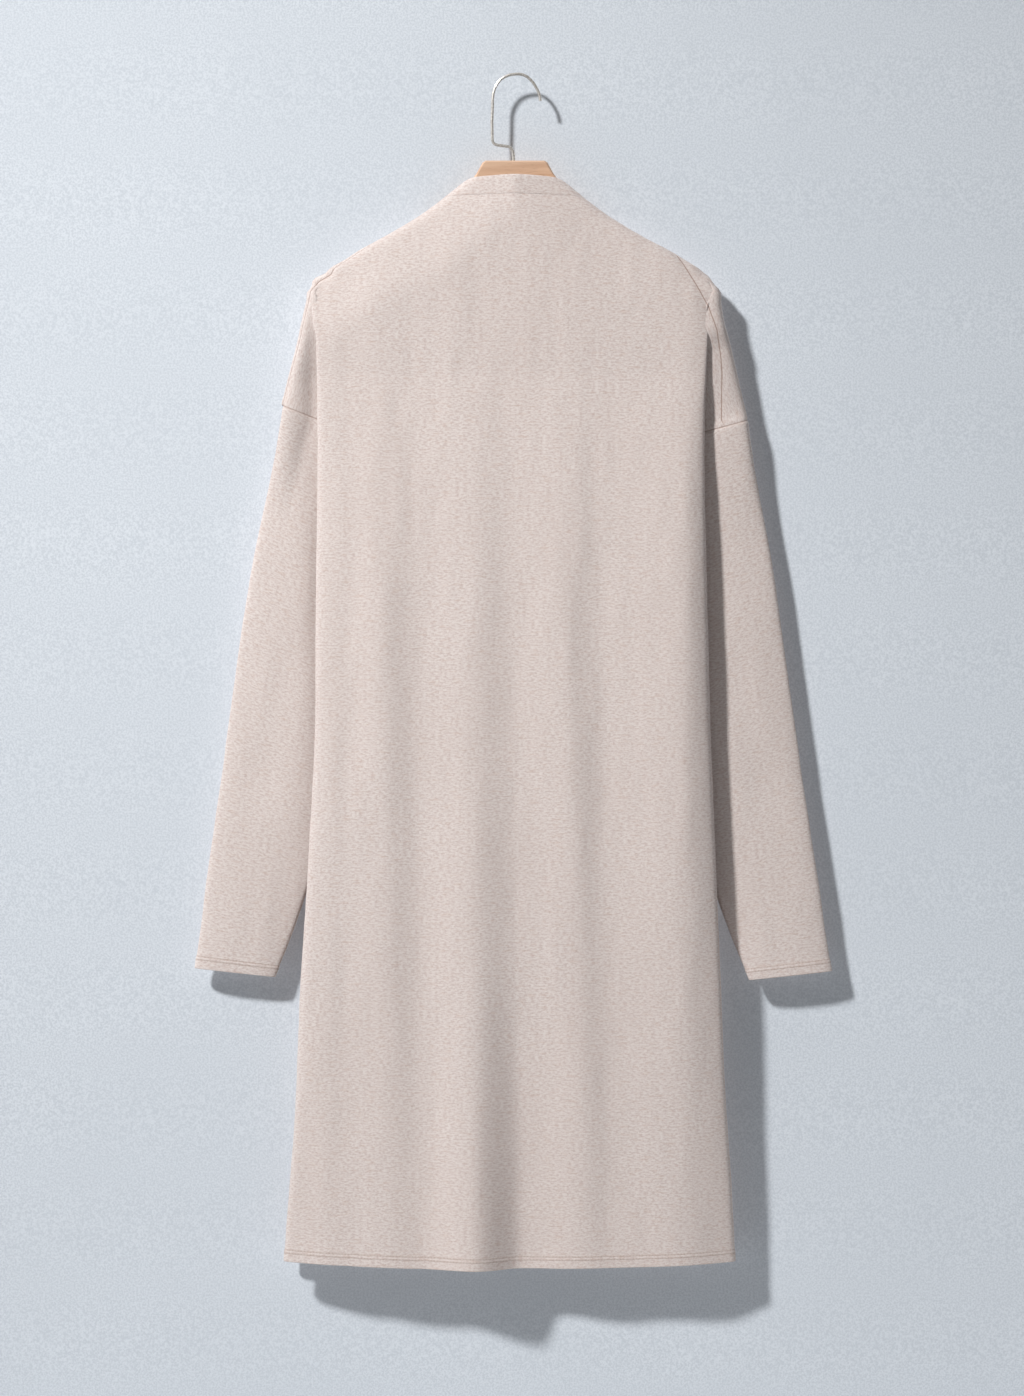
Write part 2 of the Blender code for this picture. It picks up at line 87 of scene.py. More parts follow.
# ---- folded shape, as in the solids --------------------------------------
ROLL_SHOULDER = 0.0070
ROLL_CENTRE = 0.03                     # the roll fades out at the centre line
ROLL_PLEAT = 0.0060
PLEAT_TIP_SHARE, PLEAT_OPENS = 0.4, 0.06
PLEAT_LEAN = 0.05
SEAM_VALLEY = 0.010
VALLEY_ABOVE, VALLEY_OPENS = 0.03, 0.07
ARMHOLE_ROUND = 0.034
EDGE_BLEND = 0.012
HALF_GAP = 0.0098
EDGE_Q = (0.100, 0.212, 0.344, 0.498, 0.652, 0.793, 0.905, 1.034, 1.187)
EDGE_LEFT = (0.197, 0.198, 0.196, 0.1973, 0.199, 0.206, 0.213, 0.219, 0.231)
EDGE_RIGHT = (0.195, 0.194, 0.188, 0.190, 0.194, 0.200, 0.205, 0.211, 0.2206)
SHAPE_Q = (0.100, 0.212, 0.250, 0.330, 0.395, 0.620, 0.905, 1.187)
SIDE_ROLL = (0.003, 0.003, 0.005, 0.008, 0.009, 0.009, 0.008, 0.006)
MIDDLE = (0.000, 0.000, 0.002, 0.0055, 0.006, 0.008, 0.011, 0.0155)
BACK_RETURN = (-0.0095, -0.0095, -0.0105, -0.0110, -0.010, -0.009, -0.003, 0.0110)
FRONT_RETURN = (0.0095, 0.0100, 0.0130, 0.0180, 0.0202, 0.0200, 0.0205, 0.0200)
# Ridges and valleys: place at the chest, place at the hem, depth at each FOLD_Q.
FOLD_Q = (0.300, 0.450, 0.700, 0.950, 1.190)
FOLDS = (
    (-0.205, -0.232, (-0.0165, -0.018, -0.017, -0.010, 0.0060)),
    (-0.170, -0.180, (-0.018, -0.023, -0.024, -0.018, -0.0090)),
    (-0.135, -0.120, (-0.019, -0.029, -0.032, -0.026, -0.0210)),
    (-0.098, -0.095, (-0.018, -0.025, -0.025, -0.022, -0.0200)),
    (-0.043, -0.040, (-0.019, -0.030, -0.035, -0.039, -0.0470)),
    (-0.006, 0.008, (-0.0185, -0.026, -0.027, -0.018, 0.0010)),
    (0.043, 0.070, (-0.019, -0.030, -0.034, -0.027, -0.0130)),
    (0.084, 0.098, (-0.018, -0.0245, -0.0250, -0.0210, -0.0090)),
    (0.168, 0.164, (-0.018, -0.0310, -0.0360, -0.0290, -0.0140)),
    (0.200, 0.222, (-0.0165, -0.0175, -0.0170, -0.0095, 0.0050)),
)
FRONT_FOLDS = (
    (0.010, 0.012, (0.0180, 0.0255, 0.0270, 0.0280, 0.0285)),
    (0.060, 0.070, (0.0195, 0.0275, 0.0300, 0.0310, 0.0320)),
    (0.110, 0.125, (0.0190, 0.0255, 0.0275, 0.0280, 0.0275)),
    (0.155, 0.175, (0.0205, 0.0270, 0.0295, 0.0300, 0.0300)),
    (0.205, 0.232, (0.0205, 0.0245, 0.0260, 0.0265, 0.0265)),
)
OPENING_Q = (0.120, 0.200, 0.300, 0.420, 0.800, 1.190)
OPENING_X = (0.093, 0.066, 0.040, 0.021, 0.016, 0.016)

# ---- folded shape, closer than the solids --------------------------------
# The folds keep this share of their height about their mean depth.
WAVE_SHARE_Q, WAVE_SHARE = (0.45, 0.95, 1.187), (0.60, 0.56, 0.56)
# The cloth stands off the hanger gradually below the shoulder line.
DRAPE_FROM, DRAPE_SLOPE, DRAPE_REACH = 0.196, 0.9, 0.07
# Beside the hanger's tips the folded layers lie level and part further down.
LEVEL_Q = {LEFT: (0.224, 0.262, 0.300, 0.340), RIGHT: (0.257, 0.270, 0.300, 0.345)}
LEVEL = {LEFT: (1.0, 0.80, 0.35, 0.0), RIGHT: (1.0, 0.50, 0.35, 0.0)}
LAYER_SINK, LAYER_LEAN, LAYER_APART = 0.0020, 0.024, 0.0004
# The shoulder's corner is rounded: a shift across at these drops.
CORNER_Q = (0.184, 0.1924, 0.2004, 0.2084, 0.2164, 0.2244, 0.250)
CORNER = {LEFT: (0.0, 0.0025, -0.0065, -0.007, -0.001, -0.0005, 0.0),
          RIGHT: (0.0, 0.0, -0.0045, -0.001, 0.006, 0.005, 0.0)}
CORNER_FROM, CORNER_WIDE = 0.150, 0.045
# Beside the corner the body's own layer runs out towards the silhouette.
REACH_Q = (0.206, 0.2164, 0.2244, 0.240, 0.250, 0.258, 0.2650)
REACH = {LEFT: (0.0, 0.002, 0.004, 0.004, 0.003, 0.001, 0.0),
         RIGHT: (0.0, 0.0, -0.0022, -0.0034, -0.0012, 0.0, 0.0)}
REACH_FROM, REACH_WIDE = 0.165, 0.025
# On the left the shoulder and the sleeve sink softly beside the body's edge.
HOLLOW_Q, HOLLOW = (0.225, 0.265, 0.380, 0.600, 0.800), (0.0, 0.0060, 0.0050, 0.0040, 0.0)
HOLLOW_WIDE = 0.021
HOLLOW_CLEAR = 0.0014                  # it stays this far from the middle plane
HOLLOW_LAYER = 0.005                   # on the sleeve it acts on the layer behind this

# ---- sleeves -------------------------------------------------------------
# Inner and outer end (x, z) and depth of each cuff, as in the solids.
CUFFS = {
    LEFT: ((-0.234, -0.9024), (-0.3202, -0.8937), 0.0165),
    RIGHT: ((0.2284, -0.9054), (0.3167, -0.8964), 0.0130),
}
CUFF_HALF_DEPTH = 0.0065
YOKE_HALF_GAP = 0.0075
SECTION_POWER = 0.8                    # below 1: flatter than an ellipse
HEAD_SHARE = 0.22                      # the armhole's shape fades over this share
# How far the sleeve's outer edge bows out.
BOW_AT = (0.0, 0.2, 0.4, 0.6, 0.8, 1.0)
BOW = {LEFT: (0.0, 0.0040, 0.0070, 0.0055, 0.0025, 0.0),
       RIGHT: (0.0, 0.0015, 0.0020, 0.0015, 0.0, 0.0)}
# The sleeve's inner edge is full above the cuff.
INNER_AT = (0.0, 0.25, 0.45, 0.65, 0.84, 0.92, 1.0)
INNER_BOW = (0.0, 0.0, 0.004, 0.007, 0.0078, 0.0050, 0.0)
UNDERARM_EASE, UNDERARM_WIDE, UNDERARM_SHARE = 0.007, 0.014, 0.05

# ---- relief: height, cell across, cell along and seed --------------------
PANEL_RELIEF = ((0.00055, 0.034, 0.110, 3), (0.00030, 0.013, 0.048, 5),
                (0.00016, 0.006, 0.011, 7))
SLEEVE_RELIEF = ((0.0010, 0.038, 0.105, 29), (0.0004, 0.016, 0.05, 31),
                 (0.00014, 0.006, 0.011, 37))
BAND_RELIEF = ((0.0002, 0.02, 0.2, 23),)
PUCKER_SEEDS = {"front_top": 11, "front_side": 13, "back_top": 17, "back_side": 19,
                "sleeve_top": 41}
FRONT_SHIFT, SLEEVE_SHIFT = 2.0, 3.0   # other parts of the same noise
SIDE_FADE, TOP_FADE, HEAD_FADE = 0.012, 0.010, 0.015
PUCKER_HIGH, PUCKER_CELL = 0.00022, 0.0085
PUCKER_NEAR, PUCKER_FAR = 0.002, 0.012
BAND_DIP, UNDERARM_DIP = (0.0010, 0.0001), (0.0016, 0.0006)   # reach and depth
BAND_ROLL = (0.0005, 0.0045, 0.0045)   # height, place below the top and width
BAND_FULL, BAND_FULL_BY = 0.0008, 0.006
TURN_FADE = 0.004                      # turned hems thin out towards the seams
# Distances added to the map of sewn edges, where the shade is to be weak or none.
NO_SEAM, SOFT_SEAM, UNDER_SEAM = 0.01, 0.0012, 0.0003
NO_EDGE = 0.03
NECK_WIDE, NECK_FADE, NECK_FLAT = 0.075, 0.02, 0.9
JOIN_REACH = 0.02                      # the front is drawn to the back over this

# ---- mesh steps ----------------------------------------------------------
INNER_STEPS = 56
NECK_STEPS = 28
ROLL_OFFSETS = np.linspace(-0.012, 0.012, 9)
ROLL_REACH = 0.016
OUTER_STEPS = 26
OUTER_CROWD = 1.8
FRONT_CROWD, FRONT_CROWD_SHARE, FRONT_CROWD_FADE = 2.2, 0.8, 0.05
NECK_JOIN_Q = 0.26
FIRST_ROWS = (0.0, 0.0004, 0.001, 0.002, 0.0035, 0.0055, 0.008, 0.011)
ARMHOLE_STEPS = 38
BODY_STEPS = 184
SLEEVE_STEPS = 130
RING_STEPS = 513
BAND_STEPS, BAND_CROWD = 34, 1.25
BAND_ROWS = np.concatenate([[0, 0.0004, 0.001, 0.002, 0.0035],
                            np.linspace(0.006, 0.0135, 6),
                            [0.0158, 0.0172, 0.0182, 0.0190, 0.0195]])
# Rows that follow a trimmed edge, as distances from it.
EDGE_ROWS = np.array([0.0, 0.0002, 0.0005, 0.001, 0.0018, 0.003, 0.0055, 0.008, 0.0100,
                      0.0108, 0.0114, 0.0120, 0.0126, 0.0132, 0.0140, 0.0155, 0.018])


# ---- small helpers -------------------------------------------------------
def ease(t):
    """Smooth step from 0 to 1."""
    t = np.clip(t, 0.0, 1.0)
    return t * t * (3.0 - 2.0 * t)


def bend(distance, radius):
    """Distance from a crease that has this radius; it never reaches zero."""
    return np.sqrt(distance * distance + radius * radius)


def curve(at, knots, values):
    """Smooth curve through a short table, held level past its ends."""
    knots = np.asarray(knots, float)
    values = np.asarray(values, float)
    slopes = np.gradient(values, knots)
    at = np.clip(at, knots[0], knots[-1])
    i = np.clip(np.searchsorted(knots, at) - 1, 0, len(knots) - 2)
    step = knots[i + 1] - knots[i]
    t = (at - knots[i]) / step
    start = (1 + 2 * t) * (1 - t) ** 2 * values[i] + t * (1 - t) ** 2 * step * slopes[i]
    end = t * t * (3 - 2 * t) * values[i + 1] + t * t * (t - 1) * step * slopes[i + 1]
    return start + end


def lumps(x, y, cell_x, cell_y, seed):
    """Smooth seeded noise from -1 to 1, on cells of this size in metres."""
    lattice = np.random.default_rng(seed).uniform(-1, 1, (97, 97))
    x, y = np.broadcast_arrays(x / cell_x + 40.0, y / cell_y + 20.0)
    i, j = np.floor(x).astype(int), np.floor(y).astype(int)
    u, v = ease(x - i), ease(y - j)
    i, j, i1, j1 = i % 97, j % 97, (i + 1) % 97, (j + 1) % 97
    top = lattice[i, j] * (1 - u) + lattice[i1, j] * u
    low = lattice[i, j1] * (1 - u) + lattice[i1, j1] * u
    return top * (1 - v) + low * v


def uneven(x, y, layers, total=0.0):
    """Sum of lumps, added to total."""
    for height, cell_x, cell_y, seed in layers:
        total = total + height * lumps(x, y, cell_x, cell_y, seed)
    return total


def waves(x, q, folds):
    """Depth of a layer: level at each ridge and valley, eased between them."""
    lean = ease((q - FOLD_Q[0]) / (FOLD_Q[-1] - FOLD_Q[0]))
    places = [chest + (hem - chest) * lean for chest, hem, _ in folds]
    depths = [curve(q, FOLD_Q, ys) for _, _, ys in folds]
    depth = depths[0] + 0.0 * x
    for k in range(len(folds) - 1):
        share = ease((x - places[k]) / (places[k + 1] - places[k]))
        depth = depth + (depths[k + 1] - depths[k]) * share
    mean = sum(depths) / len(depths)
    return mean + (depth - mean) * np.interp(q, WAVE_SHARE_Q, WAVE_SHARE)


# ---- the fold map --------------------------------------------------------
def body_edge(q, side):
    return curve(q, EDGE_Q, EDGE_LEFT if side == LEFT else EDGE_RIGHT)


def crease(q, side):
    return body_edge(q, side) + curve(q, SHAPE_Q, SIDE_ROLL)


def shoulder_line(p, side):
    """Drop of the shoulder line and its slope."""
    step = 0.004
    drops = SHOULDER_Q if side == LEFT else np.add(SHOULDER_Q, RIGHT_DROP)
    drop = curve(p, SHOULDER_P, drops)
    rise = curve(p + step, SHOULDER_P, drops) - curve(p - step, SHOULDER_P, drops)
    width = np.clip(p + step, None, SHOULDER_P[-1]) - np.clip(p - step, 0, None)
    return drop, np.arctan2(rise, width)


def hollowed(q, beside):
    """How deep the cloth sinks, steepest at the body's edge."""
    return curve(q, HOLLOW_Q, HOLLOW) * np.clip(beside / HOLLOW_WIDE, 0, 1) ** 2


def roll_shoulder(p, q, side):
    """Fold over the shoulder line; also how far past the line each point lies."""
    drop, slope = shoulder_line(p, side)
    past = (q - drop) * np.cos(slope)
    push = (bend(past, ROLL_SHOULDER) - past) * ease(p / ROLL_CENTRE)
    return p - np.sin(slope) * push, q + np.cos(slope) * push, past


def fold_pleat(p, q):
    """Fold about the line from the hanger's tip to the underarm."""
    across = (p - TIP_P) * math.cos(PLEAT) - (q - TIP_Q) * math.sin(PLEAT)
    along = (p - TIP_P) * math.sin(PLEAT) + (q - TIP_Q) * math.cos(PLEAT)
    opened = (1 - PLEAT_TIP_SHARE) * ease(along / PLEAT_OPENS)
    away = bend(across, ROLL_PLEAT * (PLEAT_TIP_SHARE + opened))
    p = TIP_P + along * math.sin(PLEAT) - away * math.cos(PLEAT)
    q = TIP_Q + along * math.cos(PLEAT) + away * math.sin(PLEAT)
    return p, q, across, 0.5 * (1 + across / away)


def fold(p, q, side, face, room=None, side_radius=0.0, edge_depth=None):
    """Hung place of flat points: over the shoulder, in the pleat, round the side.

    room is the distance from the panel's side edge, which is rounded by
    side_radius and drawn to edge_depth.
    """
    if room is not None:
        p = p + room - bend(room, side_radius)
    p, q, past = roll_shoulder(p, q, side)
    p, q, across, pleated = fold_pleat(p, q)

    line = crease(q, side)
    radius_side = curve(q, SHAPE_Q, SIDE_ROLL)
    beyond = p - line
    yoke_line = line + (TIP_P - line) * ease(across / PLEAT_LEAN)
    x = line - bend(beyond, radius_side)
    x = x + (2 * yoke_line - p - x) * pleated
    x = x + curve(q, CORNER_Q, CORNER[side]) * ease((x - CORNER_FROM) / CORNER_WIDE)
    x = x + curve(q, REACH_Q, REACH[side]) * ease((x - REACH_FROM) / REACH_WIDE) \
        * (1 - pleated)

    middle = curve(q, SHAPE_Q, MIDDLE)
    if face == BACK:
        hanging = waves(x * side, q, FOLDS)
        returned = curve(q, SHAPE_Q, BACK_RETURN)
    else:
        hanging = waves(x, q, FRONT_FOLDS)
        returned = curve(q, SHAPE_Q, FRONT_RETURN)
    level = np.interp(q, LEVEL_Q[side], LEVEL[side])
    hung = past + ((q - DRAPE_FROM) * DRAPE_SLOPE - past) * level * pleated
    drape = ease(hung / DRAPE_REACH)
    outer = face * HALF_GAP * (1 - drape) + hanging * drape
    yoke = middle + face * YOKE_HALF_GAP
    lean = ease((x - line + LAYER_LEAN) / LAYER_LEAN)
    hanging = outer - face * LAYER_SINK * lean * level
    returned = returned + (outer - face * (LAYER_SINK + LAYER_APART) - returned) * level
    yoke = yoke + (outer - face * LAYER_SINK * (1 - lean) - yoke) * level
    y = hanging + (returned - hanging) * 0.5 * (1 + beyond / bend(beyond, radius_side))
    y = y + (yoke - y) * pleated
    if edge_depth is not None:
        y = y + (edge_depth - y[:, -1:]) * np.exp(-room / EDGE_BLEND)
    if side == LEFT and face == BACK:
        sunk = hollowed(q, line + HOLLOW_WIDE - x)
        y = np.maximum(y, np.minimum(y + sunk * pleated, middle - HOLLOW_CLEAR))
    rolled = 0.5 * (1 - past / bend(past, ROLL_SHOULDER))
    y = y + (2 * middle - 2 * y) * rolled
    return np.stack([x * side, y, -q], axis=-1)


# ---- flat grids ----------------------------------------------------------
def armhole_rows():
    first = SHOULDER_END_Q + np.array(FIRST_ROWS)
    return np.concatenate([first, np.linspace(first[-1], UNDERARM_Q, ARMHOLE_STEPS)[1:]])


def row_drops():
    foot = HEM_CENTRE - HEM_RISE
    body = np.linspace(UNDERARM_Q, foot - EDGE_ROWS[-1], BODY_STEPS)[1:-1]
    return np.concatenate([armhole_rows(), body, (foot - EDGE_ROWS)[::-1]])


def front_columns(drops, line):
    """Columns of a front from its free edge, crowded towards that edge."""
    fractions = np.linspace(0, 1, INNER_STEPS + 1)[NECK_STEPS:]
    inner = curve(drops, OPENING_Q, OPENING_X)
    top = (line[0] - ROLL_REACH) * NECK_STEPS / INNER_STEPS
    share = (fractions - fractions[0]) / (1 - fractions[0])
    lower = ease((drops - SHOULDER_END_Q) / FRONT_CROWD_FADE)
    share = share + (share ** FRONT_CROWD - share) * lower * FRONT_CROWD_SHARE * (1 - share)
    inner = np.where(drops > NECK_JOIN_Q, inner, top + (inner - top) * ease(
        (drops - SHOULDER_END_Q) / (NECK_JOIN_Q - SHOULDER_END_Q)))
    return inner + (line - ROLL_REACH - inner) * share


def half_grid(side, face):
    """Flat p and q of one half, and each point's distance from the hem."""
    drops = row_drops()[:, None]
    line = crease(drops, side)
    edge = curve(drops, WIDTH_Q, WIDTH_P[side])
    if face == FRONT:
        columns = front_columns(drops, line)
    else:
        columns = (line - ROLL_REACH) * np.linspace(0, 1, INNER_STEPS + 1)
    roll = line + ROLL_OFFSETS
    share = 1 - np.linspace(1, 0, OUTER_STEPS + 1) ** OUTER_CROWD
    outer = line + ROLL_REACH + (edge - line - ROLL_REACH) * share
    p = np.hstack([columns, roll, outer])

    drop, slope = shoulder_line(p[0], side)
    set_in = curve(p[0], SEAM_SET_P, SEAM_SET[side]) * -face + SEAM_GAP / 2
    top = drop + set_in / np.cos(slope)
    if face == BACK:
        top = np.maximum(top, np.where(p[0] < NECK_P, BAND_FOOT + SEAM_GAP / 2, 0))
    hem = HEM_CENTRE - HEM_RISE * np.clip(p[-1] / body_edge(HEM_FOOT, side), 0, 1) ** 2
    share = (drops - drops[0]) / (drops[-1] - drops[0])
    q = top + (hem - top) * share
    q[:, -1] = drops[:, 0]
    return p, q, hem - q


def half_panel(side, face):
    """Folded surface of one half, with its flat points and edge distances."""
    p, q, to_hem = half_grid(side, face)
    drops = row_drops()[:, None]
    room = p[:, -1:] - p
    below = drops - UNDERARM_Q
    radius = SEAM_VALLEY * ease((below + VALLEY_ABOVE) / VALLEY_OPENS)
    up = np.clip(-below / ARMHOLE_ROUND, 0, 1)
    depth = np.sqrt(1 - (1 - up) ** 2)
    middle = curve(drops, SHAPE_Q, MIDDLE)
    edge_depth = middle + face * (YOKE_HALF_GAP * depth + SIDE_SEAM_GAP)
    surface = fold(p, q, side, face, room, radius, edge_depth)
    return {"at": surface, "p": p, "q": q, "hem": to_hem, "room": room,
            "top": q - q[:1], "inner": p - p[:, :1]}


# ---- shells --------------------------------------------------------------
def normals(points, around=False):
    """Unit normal of a grid's surface at every point."""
    if around:
        across = np.roll(points, -1, axis=1) - np.roll(points, 1, axis=1)
    else:
        across = np.gradient(points, axis=1)
    down = np.gradient(points, axis=0)
    made = np.cross(down, across)
    return made / np.maximum(np.linalg.norm(made, axis=-1, keepdims=True), 1e-9)


def rounding(distance, radius=0.0009):
    """Share of the full thickness at this distance from a cut edge."""
    t = np.clip(distance / radius, 0, 1)
    return 0.3 + 0.7 * np.sqrt(1 - (1 - t) ** 2)


def shell_faces(rows, columns, wide, around):
    """Quads of a closed shell on a grid, and their corners in a UV grid."""
    layer = rows * columns
    spans = columns if around else columns - 1
    r, c = np.meshgrid(np.arange(rows - 1), np.arange(spans), indexing="ij")
    r, c = r.ravel(), c.ravel()
    n = (c + 1) % columns
    a, b = r * columns + c, (r + 1) * columns + c
    d, e = (r + 1) * columns + n, r * columns + n
    ua, ub = r * wide + c, (r + 1) * wide + c
    ud, ue = ub + 1, ua + 1
    faces = [np.stack([a, b, d, e], 1), np.stack([e, d, b, a], 1) + layer]
    corners = [np.stack([ua, ub, ud, ue], 1), np.stack([ue, ud, ub, ua], 1)]

    def rim(path, uv_path, flip):
        one, two = path[:-1], path[1:]
        quad = np.stack([one, two, two + layer, one + layer], 1)
        uv = np.stack([uv_path[:-1], uv_path[1:], uv_path[1:], uv_path[:-1]], 1)
        faces.append(quad[:, ::-1] if flip else quad)
        corners.append(uv[:, ::-1] if flip else uv)

    across = np.append(np.arange(columns), 0) if around else np.arange(columns)
    uv_across = np.arange(wide)
    rim(across, uv_across, False)
    rim((rows - 1) * columns + across, (rows - 1) * wide + uv_across, True)
    if not around:
        down = np.arange(rows)
        rim(down * columns, down * wide, True)
        rim(down * columns + columns - 1, down * wide + wide - 1, False)
    return np.concatenate(faces), np.concatenate(corners)


def shell(name, points, outward, thick, flat, edge, seam, finish, around=False):
    """Closed shell on a grid: outer and inner layer and the rims between."""
    rows, columns = points.shape[:2]
    half = (thick / 2)[..., None] * outward
    verts = np.concatenate([(points + half).reshape(-1, 3), (points - half).reshape(-1, 3)])
    faces, corners = shell_faces(rows, columns, flat.shape[1], around)
    mesh = bpy.data.meshes.new(name)
    mesh.from_pydata(verts.tolist(), [], faces.tolist())
    if seam.ndim == 2:
        seam = np.stack([seam, 1.0 + 0.0 * seam], axis=-1)
    for title, grid in (("flat", flat), ("edge", edge), ("seam", seam)):
        layer_uv = mesh.uv_layers.new(name=title)
        layer_uv.data.foreach_set("uv", grid.reshape(-1, 2)[corners.ravel()].ravel())
    mesh.shade_smooth()
    mesh.update()
    made = bpy.data.objects.new(name, mesh)
    made.data.materials.append(finish)
    bpy.context.scene.collection.objects.link(made)
    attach(made, "root")
    return made


def turned(distance):
    """Extra thickness of a turned hem, with the groove of its stitching."""
    double = TURN_THICK * (1 - ease((distance - TURN) / TURN_STEP))
    groove = GROOVE_DEEP * np.exp(-((distance - TURN) / GROOVE_WIDE) ** 2)
    return double - groove


def dip(distance, reach=0.0014, depth=0.0008):
    """How far a sewn edge turns in towards its seam."""
    return depth * np.exp(-(distance / reach) ** 2)


def small_folds(x, z, room, top):
    """Soft uneven relief of hanging knit, faded out towards its seams."""
    return uneven(x, z, PANEL_RELIEF) * ease(room / SIDE_FADE) * ease(top / TOP_FADE)


def puckers(run, distance, seam):
    """Short gathers across a seam, strongest beside it."""
    return PUCKER_HIGH * lumps(run, 0 * run, PUCKER_CELL, 1.0, PUCKER_SEEDS[seam]) \
        * ease(distance / PUCKER_NEAR) * np.exp(-distance / PUCKER_FAR)


def sewn_line(points):
    """Signed distance of each point from the drawn shoulder seam, seen from behind."""
    line = np.stack([SEWN_X, SEWN_Z], axis=-1)
    start, step = line[:-1], np.diff(line, axis=0)
    here = points[..., None, (0, 2)] - start
    share = np.clip((here * step).sum(-1) / (step * step).sum(-1), 0, 1)
    off = here - share[..., None] * step
    away = np.linalg.norm(off, axis=-1)
    near = np.argmin(away, axis=-1)[..., None]
    cross = here[..., 0] * step[:, 1] - here[..., 1] * step[:, 0]
    signed = np.take_along_axis(away * np.where(cross < 0, -1, 1), near, -1)[..., 0]
    return np.where(points[..., 1] < SEWN_BEHIND, signed, 1.0)


def edge_map(distances, runs):
    """UV of the nearest trimmed edge: run along it and distance from it."""
    distances = np.stack(distances)
    runs = np.stack([r + 0 * distances[0] for r in runs])
    near = np.argmin(distances, axis=0)[None]
    return np.stack([np.take_along_axis(runs, near, 0)[0],
                     np.take_along_axis(distances, near, 0)[0]], axis=-1)


# ---- materials -----------------------------------------------------------
class Nodes:
    """Small helper that wires one material's nodes."""

    def __init__(self, name):
        self.made = bpy.data.materials.new(name)
        self.made.use_nodes = True
        self.tree = self.made.node_tree
        self.shader = self.tree.nodes["Principled BSDF"]

    def add(self, kind, links=(), **values):
        node = self.tree.nodes.new(kind)
        for key, value in values.items():
            setattr(node, key, value)
        for socket, source in dict(links).items():
            self.put(node.inputs[socket], source)
        return node

    def put(self, socket, source):
        if isinstance(source, bpy.types.NodeSocket):
            self.tree.links.new(source, socket)
        else:
            socket.default_value = source

    def shade(self, **inputs):
        """Set or link inputs of the surface shader, named with underscores."""
        for name, source in inputs.items():
            self.put(self.shader.inputs[name.replace("_", " ")], source)

    def math(self, operation, a, b=0.0, c=0.0):
        return self.add("ShaderNodeMath", {0: a, 1: b, 2: c}, operation=operation).outputs[0]

    def noise(self, vector, scale, detail=2.0, roughness=0.5):
        node = self.add("ShaderNodeTexNoise", {"Vector": vector, "Scale": scale,
                                               "Detail": detail, "Roughness": roughness})
        return node.outputs["Fac"]

    def span(self, value, low, high, to_low=0.0, to_high=1.0):
        node = self.add("ShaderNodeMapRange", {0: value, 1: low, 2: high,
                                               3: to_low, 4: to_high})
        node.interpolation_type = "SMOOTHSTEP"
        return node.outputs[0]

    def mix(self, factor, a, b, blend="MIX"):
        node = self.add("ShaderNodeMix", data_type="RGBA", blend_type=blend)
        for index, source in ((0, factor), (6, a), (7, b)):
            self.put(node.inputs[index], source)
        return node.outputs[2]

    def scaled(self, vector, x, y, z=1.0):
        node = self.add("ShaderNodeMapping", {"Vector": vector, "Scale": (x, y, z)})
        return node.outputs[0]

    def uv(self, name):
        """The two parts of a UV map, and the map itself."""
        both = self.add("ShaderNodeUVMap", uv_map=name).outputs[0]
        parts = self.add("ShaderNodeSeparateXYZ", {0: both})
        return parts.outputs[0], parts.outputs[1], both

    def bump(self, height, strength, distance):
        return self.add("ShaderNodeBump", {"Height": height, "Strength": strength,
                                           "Distance": distance}).outputs[0]


def linear(red, green, blue):
    """Display colour out of 255 as a linear RGBA colour."""
    def one(v):
        v /= 255
        return v / 12.92 if v <= 0.04045 else ((v + 0.055) / 1.055) ** 2.4
    return (one(red), one(green), one(blue), 1)


WALE, COURSE = 0.0015, 0.0011          # pitch of the knit's columns and rows
STITCH, ROW_HALF_GAP = 0.0032, 0.0016  # pitch of the hem's stitches, and its two rows


def melange(n, flat):
    """Mottled yarn colour, and the short streaks that it is drawn from."""
    streak = n.noise(n.scaled(flat, 250, 620), 1.0, 3.0, 0.65)
    long_streak = n.noise(n.scaled(flat, 80, 360), 1.0, 2.0, 0.6)
    fleck = n.noise(n.scaled(flat, 480, 760), 1.0, 1.0, 0.5)
    cloud = n.noise(n.scaled(flat, 9, 6), 1.0, 2.0, 0.5)
    base = n.mix(n.span(streak, 0.38, 0.66), linear(236, 227, 223), linear(213, 197, 192))
    base = n.mix(n.math("MULTIPLY", n.span(long_streak, 0.52, 0.72), 0.34), base,
                 linear(206, 178, 163))
    base = n.mix(n.math("MULTIPLY", n.span(fleck, 0.60, 0.74), 0.55), base,
                 linear(247, 240, 235))
    base = n.mix(n.math("MULTIPLY", n.span(fleck, 0.40, 0.28), 0.32), base,
                 linear(178, 152, 142))
    base = n.mix(n.span(cloud, 0.3, 0.7, 0.0, 0.16), base, linear(214, 199, 193))
    return base, streak


